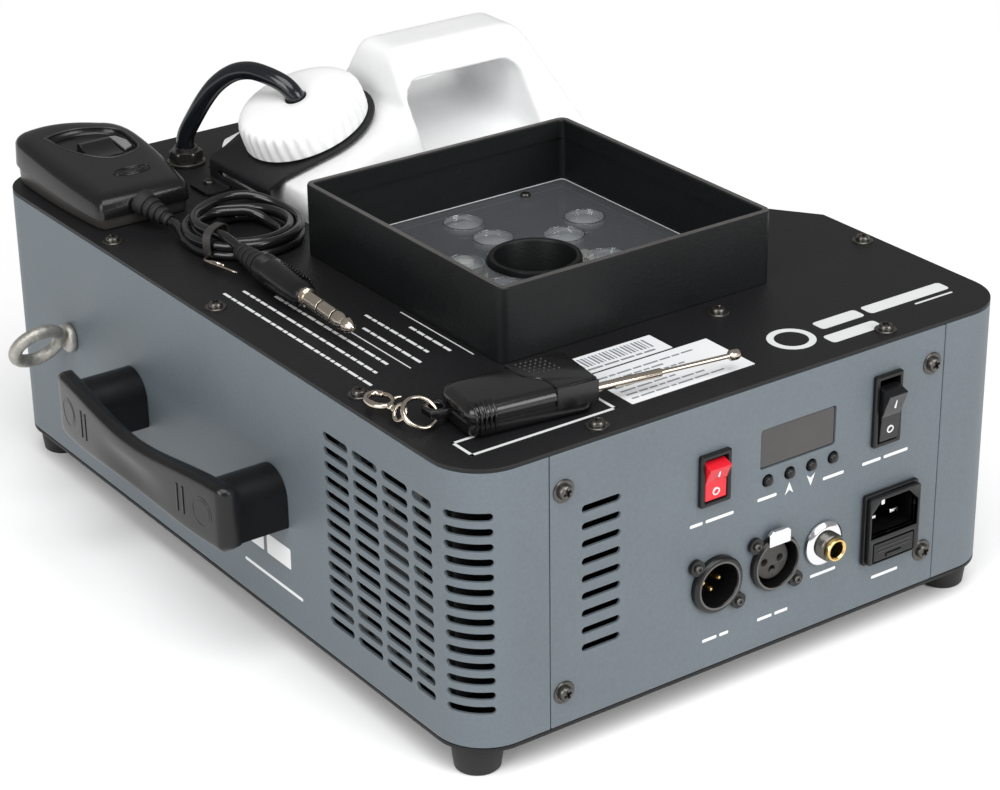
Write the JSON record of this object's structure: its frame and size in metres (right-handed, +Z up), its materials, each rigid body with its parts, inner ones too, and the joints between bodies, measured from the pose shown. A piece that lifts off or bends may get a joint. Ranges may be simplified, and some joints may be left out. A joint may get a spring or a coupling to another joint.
{
  "type": "fog machine",
  "caption": "Vertical fog machine with an LED-lit outlet hood, rear fluid tank, control panel, vented sheet casing, side handle, wired remote and wireless fob.",
  "frame": {"origin": "middle of the bounding box at floor level", "axes": "+Z up; -Y faces the control panel; +X to the right when facing the panel"},
  "size_m": [0.297, 0.3744, 0.187],
  "materials": {
    "painted_shell": "fine textured powder coat, blue grey",
    "black_sheet": "satin black",
    "black_plastic": "satin",
    "black_rubber": "matt",
    "hose_rubber": "glossy",
    "red_plastic": "gloss",
    "plated": "polished",
    "galvanised": "dull zinc",
    "gold_contacts": "gold plated",
    "tank_white": "translucent natural polyethylene",
    "cap_white": "satin",
    "clear_lens": "clear, moulded lenses",
    "display_glass": "tinted window",
    "circuit_board": "solder mask",
    "heater_aluminium": "cast"
  },
  "bodies": {
    "casing": {"base_plate": "black_sheet", "side_shell": "painted_shell", "right_shell": "painted_shell", "tank_bay": "black_sheet", "control_panel": "painted_shell", "fog_switch_bezel": "black_plastic", "power_switch_bezel": "black_plastic", "display_window": "display_glass", "xlr_input_shell": "black_plastic", "xlr_input_insert": "gold_contacts", "xlr_output_shell": "black_plastic", "xlr_output_insert": "black_plastic", "jack_socket": "plated", "mains_inlet": "black_plastic", "top_cover": "black_sheet", "outlet_hood": "black_sheet", "lens_plate": "clear_lens", "heater_block": "heater_aluminium", "nozzle_tube": "black_sheet", "led_board": "circuit_board", "fluid_pump": "galvanised", "pump_tube": "gold_contacts", "power_board": "circuit_board", "control_board": "circuit_board", "fan_frame": "black_plastic", "fluid_tank": "tank_white", "tank_bracket": "black_sheet", "suction_hose": "hose_rubber", "hose_gland": "plated", "carry_handle": "black_plastic", "eye_bolt": "galvanised", "eye_bolt_nut": "galvanised", "foot_front_left": "black_rubber", "foot_front_right": "black_rubber", "foot_back_left": "black_rubber", "foot_back_right": "black_rubber"},
    "fog_rocker": {"fog_switch_rocker": "red_plastic"},
    "power_rocker": {"power_switch_rocker": "black_plastic"},
    "button_1": {"menu_button_1": "black_plastic"},
    "button_2": {"menu_button_2": "black_plastic"},
    "button_3": {"menu_button_3": "black_plastic"},
    "button_4": {"menu_button_4": "black_plastic"},
    "latch": {"xlr_latch": "plated"},
    "fuse_tray": {"fuse_drawer": "black_plastic"},
    "cap": {"tank_cap": "cap_white"},
    "rotor": {"fan_rotor": "black_plastic"},
    "remote": {"remote_lower_shell": "black_plastic", "remote_upper_shell": "black_plastic", "remote_strain_relief": "black_rubber", "remote_coil": "black_rubber", "jack_plug_body": "black_plastic", "jack_plug_pin": "plated"},
    "remote_switch": {"remote_rocker": "black_plastic"},
    "fob": {"fob_body": "black_plastic", "key_ring": "plated", "snap_clasp": "plated"},
    "fob_lid": {"fob_cover": "black_plastic"},
    "antenna_stage_1": {"antenna_outer": "plated"},
    "antenna_stage_2": {"antenna_tip": "plated"}
  },
  "joints": [
    {"name": "fog_rocker_tilt", "type": "hinge", "parent": "casing", "child": "fog_rocker", "pos_m": [-0.0033, -0.1738, 0.0963], "axis": [1, 0, 0], "range_deg": [-24, 0]},
    {"name": "power_rocker_tilt", "type": "hinge", "parent": "casing", "child": "power_rocker", "pos_m": [0.0825, -0.1718, 0.1], "axis": [1, 0, 0], "range_deg": [-24, 0]},
    {"name": "menu_button_press_1", "type": "slide", "parent": "casing", "child": "button_1", "axis": [0, 1, 0], "range_m": [0, 0.0008], "stiffness_N_per_m": 600, "springref_m": -0.0005},
    {"name": "menu_button_press_2", "type": "slide", "parent": "casing", "child": "button_2", "axis": [0, 1, 0], "range_m": [0, 0.0008], "stiffness_N_per_m": 600, "springref_m": -0.0005},
    {"name": "menu_button_press_3", "type": "slide", "parent": "casing", "child": "button_3", "axis": [0, 1, 0], "range_m": [0, 0.0008], "stiffness_N_per_m": 600, "springref_m": -0.0005},
    {"name": "menu_button_press_4", "type": "slide", "parent": "casing", "child": "button_4", "axis": [0, 1, 0], "range_m": [0, 0.0008], "stiffness_N_per_m": 600, "springref_m": -0.0005},
    {"name": "xlr_latch_press", "type": "slide", "parent": "casing", "child": "latch", "axis": [0, 1, 0], "range_m": [0, 0.0014], "stiffness_N_per_m": 700, "springref_m": -0.0005},
    {"name": "fuse_drawer_slide", "type": "slide", "parent": "casing", "child": "fuse_tray", "axis": [0, -1, 0], "range_m": [0, 0.024]},
    {"name": "tank_cap_turn", "type": "hinge", "parent": "casing", "child": "cap", "pos_m": [-0.0025, 0.1032, 0.151], "axis": [-0.342, 0, 0.9397], "range_deg": [0, 340]},
    {"name": "fan_spin", "type": "hinge", "parent": "casing", "child": "rotor", "pos_m": [-0.0985, -0.1223, 0.072], "axis": [1, 0, 0], "continuous": true},
    {"name": "remote_lift", "type": "slide", "parent": "casing", "child": "remote", "axis": [0, 0, 1], "range_m": [0, 0.15]},
    {"name": "remote_rocker_tilt", "type": "hinge", "parent": "remote", "child": "remote_switch", "pos_m": [-0.08075, 0.1502, 0.144], "axis": [1, 0, 0], "range_deg": [-7, 0], "stiffness_Nm_per_rad": 0.2, "springref_deg": 1.15},
    {"name": "fob_lift", "type": "slide", "parent": "casing", "child": "fob", "axis": [0, 0, 1], "range_m": [0, 0.15]},
    {"name": "fob_cover_slide", "type": "slide", "parent": "fob", "child": "fob_lid", "axis": [0.9914, -0.1305, 0], "range_m": [-0.0135, 0]},
    {"name": "antenna_first_stage", "type": "slide", "parent": "fob", "child": "antenna_stage_1", "axis": [0.9914, -0.1305, 0], "range_m": [-0.026, 0]},
    {"name": "antenna_second_stage", "type": "slide", "parent": "antenna_stage_1", "child": "antenna_stage_2", "axis": [0.9914, -0.1305, 0], "range_m": [-0.026, 0]}
  ],
  "couplings": [
    {"joint": "antenna_second_stage", "follows": "antenna_first_stage", "ratio": 1}
  ]
}
